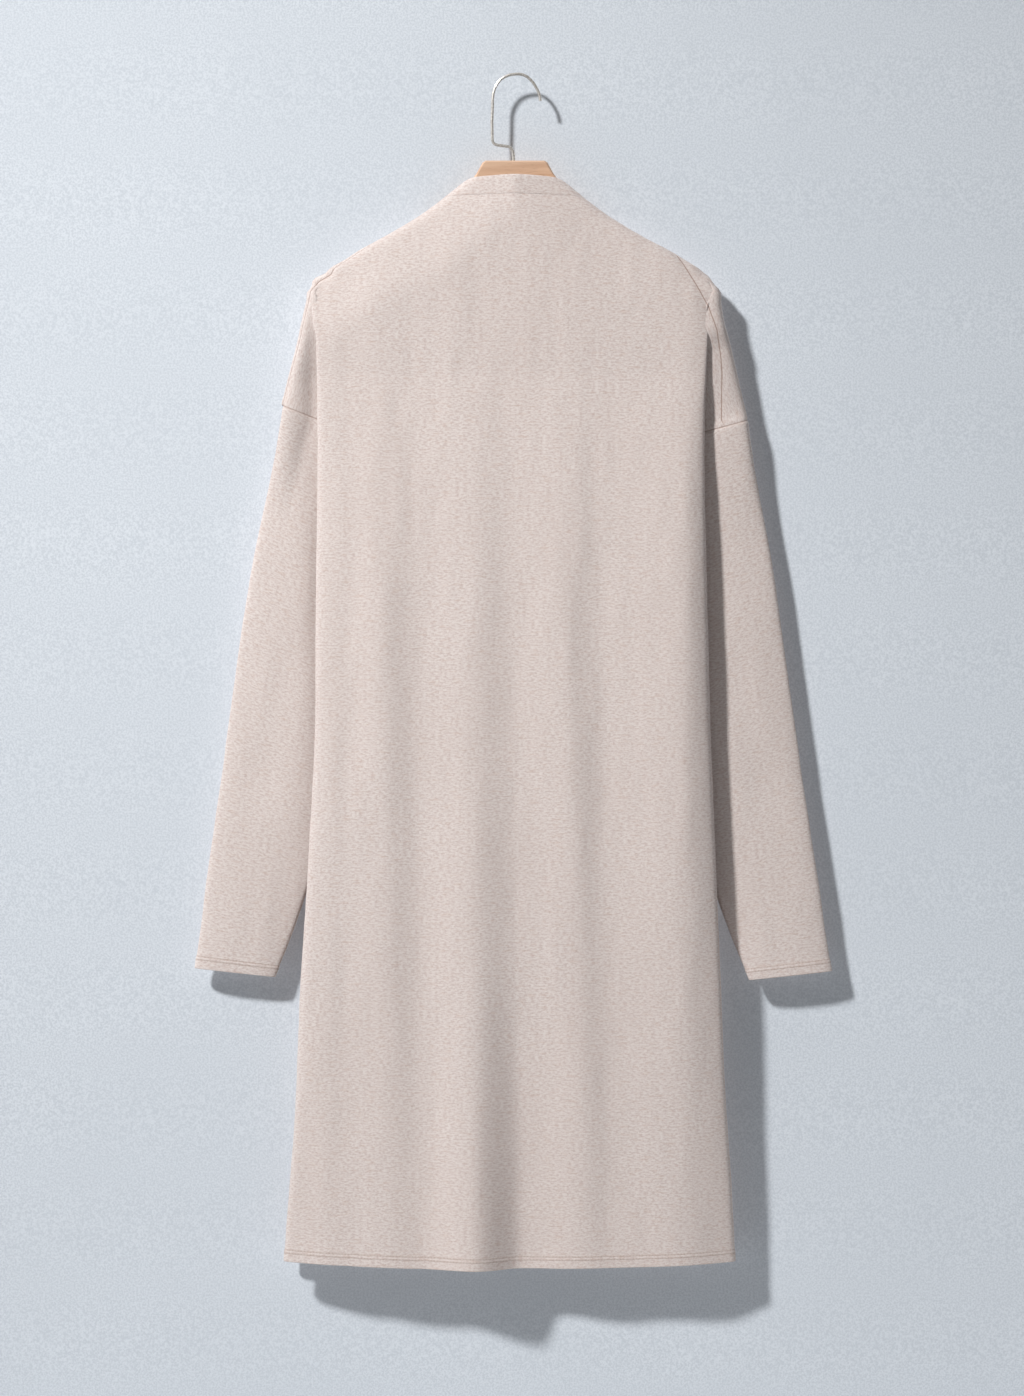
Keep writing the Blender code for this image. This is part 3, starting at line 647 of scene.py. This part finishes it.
def knit_material(name):
    """Fine melange jersey: stitch columns, mottled courses and pale flecks."""
    n = Nodes(name)
    p, q, flat = n.uv("flat")
    run, away, _ = n.uv("edge")
    sewn, drawn, _ = n.uv("seam")
    base, streak = melange(n, flat)

    # Columns of V stitches: phase along the column leans out from its middle.
    column = n.math("FRACT", n.math("DIVIDE", p, WALE))
    lean = n.math("ABSOLUTE", n.math("SUBTRACT", column, 0.5))
    phase = n.math("ADD", n.math("DIVIDE", q, COURSE), n.math("MULTIPLY", lean, 0.9))
    loop = n.math("SINE", n.math("MULTIPLY", phase, 2 * math.pi))
    ridge = n.math("SINE", n.math("MULTIPLY", lean, 2 * math.pi))
    height = n.math("ADD", n.math("MULTIPLY", ridge, 0.6), n.math("MULTIPLY", loop, 0.4))
    height = n.math("ADD", height, n.math("MULTIPLY", streak, 0.45))
    # Painted shade in the grooves between the stitch columns.
    shade = n.math("MULTIPLY", n.span(ridge, 0.45, 0.0), 0.13)
    base = n.mix(shade, base, linear(150, 128, 120))

    # Shade in the sewn joins and in the drawn seam.
    base = n.mix(n.span(sewn, 0.0008, 0.0002, 0.0, 0.55), base, linear(150, 118, 104))
    base = n.mix(n.span(n.math("ABSOLUTE", drawn), 0.0008, 0.0002, 0.0, 0.72), base,
                 linear(150, 112, 94))

    # Two rows of stitching along each turned hem, with painted shade in their grooves and
    # stitch holes.
    row = n.math("ABSOLUTE", n.math("SUBTRACT", n.math("ABSOLUTE", n.math(
        "SUBTRACT", away, TURN - ROW_HALF_GAP)), ROW_HALF_GAP))
    dash = n.math("ABSOLUTE", n.math("SUBTRACT", n.math("FRACT", n.math(
        "DIVIDE", run, STITCH)), 0.5))
    thread = n.math("MULTIPLY", n.span(row, 0.0006, 0.0002), n.span(dash, 0.42, 0.34))
    stitch_hole_shade = n.math("MULTIPLY", n.span(row, 0.0009, 0.0004), n.span(dash, 0.38, 0.47))
    # Painted shade along the grooves of both rows, then the thread, then painted shade in the
    # holes.
    base = n.mix(n.math("MULTIPLY", n.span(row, 0.0011, 0.0003), 0.30), base,
                 linear(166, 138, 124))
    base = n.mix(n.math("MULTIPLY", thread, 0.45), base, linear(206, 190, 182))
    base = n.mix(n.math("MULTIPLY", stitch_hole_shade, 0.4), base, linear(148, 124, 114))
    height = n.math("ADD", height, n.math("MULTIPLY", thread, 1.2))

    n.shade(Base_Color=base, Roughness=n.span(streak, 0.2, 0.8, 0.82, 0.96),
            Normal=n.bump(height, 0.55, 0.00035), Sheen_Weight=0.22,
            Sheen_Roughness=0.55, Specular_IOR_Level=0.18)
    return n.made


def wood_material():
    """Pale varnished beech: long grain, short pores and rubbed edges."""
    n = Nodes("varnished_beech")
    place = n.add("ShaderNodeTexCoord").outputs["Object"]
    grain = n.noise(n.scaled(place, 9, 160, 210), 1.0, 4.0, 0.6)
    broad = n.noise(n.scaled(place, 4, 20, 46), 1.0, 2.0, 0.5)
    pores = n.noise(n.scaled(place, 90, 900, 1100), 1.0, 1.0, 0.5)
    worn = n.add("ShaderNodeNewGeometry").outputs["Pointiness"]
    base = n.mix(n.span(grain, 0.36, 0.66), linear(228, 190, 158), linear(192, 146, 112))
    base = n.mix(n.span(broad, 0.35, 0.7, 0.0, 0.4), base, linear(203, 160, 130))
    base = n.mix(n.math("MULTIPLY", n.span(pores, 0.62, 0.72), 0.5), base,
                 linear(142, 100, 74))
    base = n.mix(n.span(worn, 0.52, 0.60, 0.0, 0.45), base, linear(236, 208, 184))
    height = n.math("ADD", grain, n.math("MULTIPLY", pores, -0.6))
    n.shade(Base_Color=base, Roughness=n.span(grain, 0.3, 0.7, 0.30, 0.46),
            Normal=n.bump(height, 0.25, 0.0003), Coat_Weight=0.35, Coat_Roughness=0.22)
    return n.made


def wire_material():
    """Drawn steel wire with a dulled zinc skin and fine marks."""
    n = Nodes("zinc_wire")
    place = n.add("ShaderNodeTexCoord").outputs["Object"]
    mottled = n.noise(n.scaled(place, 500, 500, 500), 1.0, 3.0, 0.6)
    marks = n.noise(n.scaled(place, 1500, 1500, 160), 1.0, 2.0, 0.6)
    base = n.mix(n.span(mottled, 0.35, 0.7), linear(212, 209, 204), linear(168, 164, 158))
    base = n.mix(n.math("MULTIPLY", n.span(marks, 0.6, 0.75), 0.5), base,
                 linear(150, 146, 140))
    n.shade(Base_Color=base, Roughness=n.span(mottled, 0.3, 0.7, 0.28, 0.5),
            Normal=n.bump(marks, 0.2, 0.0001), Metallic=0.45)
    return n.made


# ---- the garment ---------------------------------------------------------
def whole(halves, left_sign=1):
    """Left and right half grids joined at the centre line."""
    return np.concatenate([left_sign * halves[LEFT][:, :0:-1], halves[RIGHT]], axis=1)


def make_front(part, side, name, finish):
    """One front, thickened, with relief, turned edges and sewn edges."""
    points, p, q = part["at"], part["p"], part["q"]
    hem, free, room, top = part["hem"], part["inner"], part["room"], part["top"]
    out = normals(points) * part["sign"]
    shown = 1 - ease((p - SEAM_SHOWN) / SEAM_FADE) * (side == RIGHT)
    relief = small_folds(points[..., 0] + FRONT_SHIFT, points[..., 2], room, top)
    relief = relief + puckers(p, top, "front_top") * shown
    relief = relief + puckers(q, room, "front_side")
    relief = relief - dip(top) * shown - dip(room)
    thick = CLOTH + turned(hem) * ease(room / TURN_FADE)
    thick = thick + turned(free) * ease(top / TURN_FADE)
    thick = thick * rounding(hem) * rounding(free)
    flat = np.stack([p * side, q], axis=-1)
    edge = edge_map([hem, free], [p, q])
    seam = np.minimum(room, top + NO_SEAM * (1 - shown))
    return shell(name, points + out * relief[..., None], out, thick, flat, edge, seam, finish)


def make_back(parts, finish):
    """The back, both halves in one, with the drawn seam over the right shoulder."""
    points, q, hem, room, top = (whole({s: parts[s][key] for s in parts})
                                 for key in ("at", "q", "hem", "room", "top"))
    p = whole({s: parts[s]["p"] for s in parts}, -1)
    out = normals(points)
    if out[len(points) // 2, points.shape[1] // 2, 1] > 0:
        out = -out
    at_neck = 1 - ease((np.abs(p) - NECK_WIDE) / NECK_FADE)
    shown = 1 - ease((p - SEAM_SHOWN) / SEAM_FADE)
    sewn = sewn_line(points)
    relief = small_folds(points[..., 0], points[..., 2], room, top)
    relief = relief + puckers(p, top, "back_top") * shown
    relief = relief + puckers(q, room, "back_side")
    relief = relief - dip(top) * (1 - NECK_FLAT * at_neck) * shown - dip(room)
    relief = relief - dip(sewn, SEWN_REACH, SEWN_DEEP)
    thick = CLOTH + turned(hem) * ease(room / TURN_FADE)
    thick = thick * rounding(hem)
    flat = np.stack([p, q], axis=-1)
    edge = np.stack([p, hem], axis=-1)
    seam = np.minimum(room, top + SOFT_SEAM * at_neck + NO_SEAM * (1 - shown))
    seam = np.stack([seam, sewn], axis=-1)
    return shell("back_knit", points + out * relief[..., None], out, thick, flat, edge, seam,
                 finish)


def front_part(side, back):
    """One front, its shoulder edge drawn to the back's."""
    part = half_panel(side, FRONT)
    surface = part["at"]
    seam = back["at"][:2, NECK_STEPS:]
    ahead = seam[0] - seam[1]
    ahead /= np.linalg.norm(ahead, axis=-1, keepdims=True)
    away = np.linalg.norm(surface - surface[:1], axis=-1, keepdims=True)
    part["at"] = surface + (seam[0] + ahead * SEAM_GAP - surface[:1]) \
        * np.exp(-away / JOIN_REACH)
    out = normals(part["at"])
    part["sign"] = 1 if out[len(out) // 2, 8, 1] > 0 else -1
    return part


def make_neckband(finish):
    """Folded strip round the back of the neck."""
    rows = (BAND_TOP + BAND_ROWS)[:, None]
    rows[-1] -= SEAM_GAP / 2
    share = 1 - (1 - np.linspace(0, 1, BAND_STEPS + 1)) ** BAND_CROWD
    reach = np.interp(rows, SHOULDER_Q, SHOULDER_P) + BAND_TURN
    p = reach * share
    points = whole({side: fold(p, rows + 0.0 * p, side, BACK) for side in (LEFT, RIGHT)})
    p = whole({LEFT: p, RIGHT: p}, -1)
    q = rows + 0.0 * p
    out = normals(points)
    if out[8, BAND_STEPS, 1] > 0:
        out = -out
    top = q - BAND_TOP
    foot = BAND_FOOT - q
    relief = uneven(p, q, BAND_RELIEF) - dip(foot, *BAND_DIP)
    high, place, wide = BAND_ROLL
    relief = relief + high * np.exp(-((top - place) / wide) ** 2)
    thick = (CLOTH + BAND_FULL * ease(foot / BAND_FULL_BY)) * rounding(top, 0.0014)
    flat = np.stack([p, q], axis=-1)
    edge = np.stack([p, NO_EDGE + 0.0 * top], axis=-1)
    seam = np.minimum(foot + SOFT_SEAM, reach - np.abs(p))
    return shell("neckband_knit", points + out * relief[..., None], out, thick, flat, edge,
                 seam, finish)


def armhole_loop(back, front, side):
    """The armhole from the underarm up the back and down the front."""
    steps = len(armhole_rows())
    loop = np.concatenate([back["at"][:steps, -1][::-1], front["at"][1:steps - 1, -1]])
    away = np.linalg.norm(loop - loop[0], axis=-1)
    loop[:, 0] += side * UNDERARM_EASE * np.exp(-(away / UNDERARM_WIDE) ** 2)
    return loop


def places_along(loop):
    """Share of a closed loop's length at each of its points."""
    closed = np.vstack([loop, loop[:1]])
    run = np.cumsum(np.linalg.norm(np.diff(closed, axis=0), axis=1))
    return np.concatenate([[0], run[:-1]]) / run[-1]


def sleeve_section(inner, outer, half_depth, places):
    """Points of a flattened ring at these shares of its length, and the length."""
    angle = np.linspace(math.pi, -math.pi, RING_STEPS)
    middle, half = (inner + outer) / 2, (outer - inner) / 2
    ring = middle + np.cos(angle)[:, None] * half
    ring[:, 1] -= half_depth * np.sign(np.sin(angle)) * np.abs(np.sin(angle)) ** SECTION_POWER
    run = np.concatenate([[0], np.cumsum(np.linalg.norm(np.diff(ring, axis=0), axis=1))])
    total = run[-1]
    run /= total
    return np.stack([np.interp(places, run, ring[:, k]) for k in range(3)], axis=-1), total


def sleeve_rings(loop, side):
    """Rings of a tapered tube from the armhole's loop down to the cuff."""
    inner_cuff, outer_cuff, cuff_y = CUFFS[side]
    reach = np.linalg.norm(loop - loop[0], axis=1)
    inner_top, outer_top = loop[0], loop[np.argmax(reach)].copy()
    outer_top[1] = inner_top[1]
    inner_end = np.array([inner_cuff[0], cuff_y, inner_cuff[1]])
    outer_end = np.array([outer_cuff[0], cuff_y, outer_cuff[1]])
    down = (inner_end + outer_end) - (inner_top + outer_top)
    long = np.linalg.norm(down) / 2
    down /= 2 * long
    places = places_along(loop)
    top, _ = sleeve_section(inner_top, outer_top, YOKE_HALF_GAP, places)
    first = np.array(FIRST_ROWS[1:]) / long
    body = np.linspace(first[-1], 1 - EDGE_ROWS[-1] / long, SLEEVE_STEPS)[1:-1]
    steps = np.concatenate([[0], first, body, (1 - EDGE_ROWS / long)[::-1]])
    rings, girths = [], []
    for t in steps:
        bow = np.interp(t, BOW_AT, BOW[side]) * side
        inner = inner_top + (inner_end - inner_top) * t
        inner[0] += side * UNDERARM_EASE * ease(t / UNDERARM_SHARE)
        inner[0] -= side * curve(t, INNER_AT, INNER_BOW)
        outer = outer_top + (outer_end - outer_top) * t + np.array([bow, 0, 0])
        half_depth = YOKE_HALF_GAP + (CUFF_HALF_DEPTH - YOKE_HALF_GAP) * t
        ring, girth = sleeve_section(inner, outer, half_depth, places)
        ring = ring + (loop - top) * (1 - ease(t / HEAD_SHARE)) + down * SLEEVE_GAP * (1 - t)
        rings.append(ring)
        girths.append(girth)
    return np.array(rings), np.array(girths)[:, None], steps, long, places


def make_sleeve(loop, side, name, finish):
    """One sleeve with its underarm seam, relief and turned cuff."""
    points, girth, steps, long, places = sleeve_rings(loop, side)
    out = normals(points, True)
    centre = points.mean(axis=1, keepdims=True)
    if ((points - centre) * out).sum() < 0:
        out = -out
    if side == LEFT:
        drop = -points[..., 2]
        beside = body_edge(drop, side) + HOLLOW_WIDE + points[..., 0]
        behind = ease((centre[..., 1] - points[..., 1]) / HOLLOW_LAYER)
        behind = behind * ease(steps / HEAD_SHARE)[:, None]
        points[..., 1] += hollowed(drop, beside) * behind
    t = steps[:, None]
    p = (places[None] - 0.5) * girth
    q = t * long + 0.0 * p
    to_cuff = (1 - t) * long + 0.0 * p
    under = girth / 2 - np.abs(p)
    relief = uneven(p, q + SLEEVE_SHIFT, SLEEVE_RELIEF[:1])
    relief = uneven(p, q, SLEEVE_RELIEF[1:], relief) * ease(q / HEAD_FADE)
    relief = relief + puckers(p, q, "sleeve_top") - dip(q)
    relief = relief - dip(under, *UNDERARM_DIP)
    thick = (CLOTH + turned(to_cuff)) * rounding(to_cuff)

    def closed(grid, last):
        """UV grid with the first column again at the far side of the seam."""
        return np.concatenate([grid, last], axis=1)

    flat = closed(np.stack([p, q], axis=-1), np.stack([girth / 2, t * long], axis=-1))
    edge = np.stack([flat[..., 0], closed(to_cuff, to_cuff[:, :1])], axis=-1)
    seam = np.minimum(q, under + UNDER_SEAM)
    seam = closed(seam, seam[:, :1])
    return shell(name, points + out * relief[..., None], out, thick, flat, edge, seam, finish,
                 True)


# ---- stage ---------------------------------------------------------------
# The wall leans: it is nearer at the top, so the shadow widens down to the hem.
WALL_Y, WALL_LEAN, FLOOR_Z = 0.022, 0.0167, -1.42
WALL_HALF_WIDE, WALL_TOP, FLOOR_HALF_DEEP = 4.0, 2.6, 5.0
AIM = Vector((-0.003, 0.0, -0.6224))
CAMERA_AWAY, CAMERA_LENS, CAMERA_SENSOR = 4.0, 140.625, 36.0
KEY_PLACE, KEY_AIM = (-3.0, -3.5, 2.8), Vector((-0.15, 0.0, -0.47))
KEY_SIZE, KEY_POWER, KEY_SPREAD = 0.55, 48.5, math.radians(70)
KEY_COLOUR = (1.0, 0.985, 0.968)
REAR_PLACE, REAR_SIZE, REAR_POWER = (1.8, 3.6, 0.9), 2.6, 70.0
REAR_COLOUR = (1.0, 0.985, 0.97)
ROOM_COLOUR, ROOM_STRENGTH = (1.0, 0.967, 0.955, 1), 0.13


def plane(name, corners, finish):
    mesh = bpy.data.meshes.new(name)
    mesh.from_pydata(corners, [], [(0, 1, 2, 3)])
    made = bpy.data.objects.new(name, mesh)
    made.data.materials.append(finish)
    bpy.context.scene.collection.objects.link(made)
    return made


def wall_material():
    """Painted plaster; seen only from the room's side, and casts no shadow."""
    n = Nodes("pale_wall")
    place = n.add("ShaderNodeTexCoord").outputs["Object"]
    speck = n.noise(place, 520.0, 3.0, 0.6)
    tone = n.noise(place, 5.0, 2.0, 0.5)
    base = n.mix(n.span(speck, 0.35, 0.65), linear(207, 215, 224), linear(226, 233, 241))
    base = n.mix(n.span(tone, 0.3, 0.7, 0.0, 0.2), base, linear(208, 216, 225))
    n.shade(Base_Color=base, Roughness=0.9, Specular_IOR_Level=0.1,
            Normal=n.bump(speck, 0.25, 0.0006))
    clear = n.add("ShaderNodeBsdfTransparent").outputs[0]
    behind = n.add("ShaderNodeNewGeometry").outputs["Backfacing"]
    shadow = n.add("ShaderNodeLightPath").outputs["Is Shadow Ray"]
    hidden = n.math("MAXIMUM", behind, shadow)
    mixed = n.add("ShaderNodeMixShader", {0: hidden, 1: n.shader.outputs[0], 2: clear})
    out = n.tree.nodes["Material Output"]
    n.tree.links.new(mixed.outputs[0], out.inputs["Surface"])
    return n.made


def floor_material():
    n = Nodes("pale_floor")
    place = n.add("ShaderNodeTexCoord").outputs["Object"]
    tone = n.noise(place, 3.0, 3.0, 0.5)
    n.shade(Base_Color=n.mix(tone, linear(205, 206, 207), linear(212, 213, 214)),
            Roughness=0.8)
    return n.made


def area_light(name, place, size, power, colour, aim=AIM):
    data = bpy.data.lights.new(name, "AREA")
    data.shape = "DISK"
    data.size = size
    data.energy = power
    data.color = colour
    made = bpy.data.objects.new(name, data)
    made.location = place
    made.rotation_euler = (aim - Vector(place)).to_track_quat("-Z", "Y").to_euler()
    bpy.context.scene.collection.objects.link(made)
    return made


def make_stage():
    """Wall, floor, two lights, the room's glow and the camera."""
    wide, deep = WALL_HALF_WIDE, FLOOR_HALF_DEEP
    foot, head = (WALL_Y - WALL_LEAN * z for z in (FLOOR_Z, WALL_TOP))
    plane("wall", [(-wide, foot, FLOOR_Z), (wide, foot, FLOOR_Z),
                   (wide, head, WALL_TOP), (-wide, head, WALL_TOP)], wall_material())
    plane("floor", [(-wide, -deep, FLOOR_Z), (wide, -deep, FLOOR_Z),
                    (wide, deep, FLOOR_Z), (-wide, deep, FLOOR_Z)], floor_material())
    key = area_light("key", KEY_PLACE, KEY_SIZE, KEY_POWER, KEY_COLOUR, KEY_AIM)
    key.data.spread = KEY_SPREAD
    area_light("rear_fill", REAR_PLACE, REAR_SIZE, REAR_POWER, REAR_COLOUR)
    world = bpy.data.worlds.new("soft_room")
    world.use_nodes = True
    glow = world.node_tree.nodes["Background"]
    glow.inputs[0].default_value = ROOM_COLOUR
    glow.inputs[1].default_value = ROOM_STRENGTH
    bpy.context.scene.world = world

    data = bpy.data.cameras.new("camera")
    data.sensor_fit = "HORIZONTAL"
    data.sensor_width = CAMERA_SENSOR
    data.lens = CAMERA_LENS
    camera = bpy.data.objects.new("camera", data)
    camera.location = (AIM.x, -CAMERA_AWAY, AIM.z)
    camera.rotation_euler = (math.pi / 2, 0, 0)
    bpy.context.scene.collection.objects.link(camera)
    bpy.context.scene.camera = camera
    bpy.context.scene.view_settings.view_transform = "Standard"


# ---- making --------------------------------------------------------------
def main():
    make_stage()
    knit = knit_material("melange_knit")
    backs = {side: half_panel(side, BACK) for side in (LEFT, RIGHT)}
    fronts = {side: front_part(side, backs[side]) for side in (LEFT, RIGHT)}
    back = make_back(backs, knit)
    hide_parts("back")
    for side, name in ((LEFT, "left"), (RIGHT, "right")):
        front = make_front(fronts[side], side, f"front_{name}_knit", knit)
        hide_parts(f"front_{name}")
        loop = armhole_loop(backs[side], fronts[side], side)
        sleeve = make_sleeve(loop, side, f"sleeve_{name}_knit", knit)
        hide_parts(f"sleeve_{name}")
    band = make_neckband(knit)
    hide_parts("neckband")

    for node, finish in (("hanger_wood", wood_material()), ("hanger_hook", wire_material())):
        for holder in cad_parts[node].material_slots:
            holder.material = finish


main()
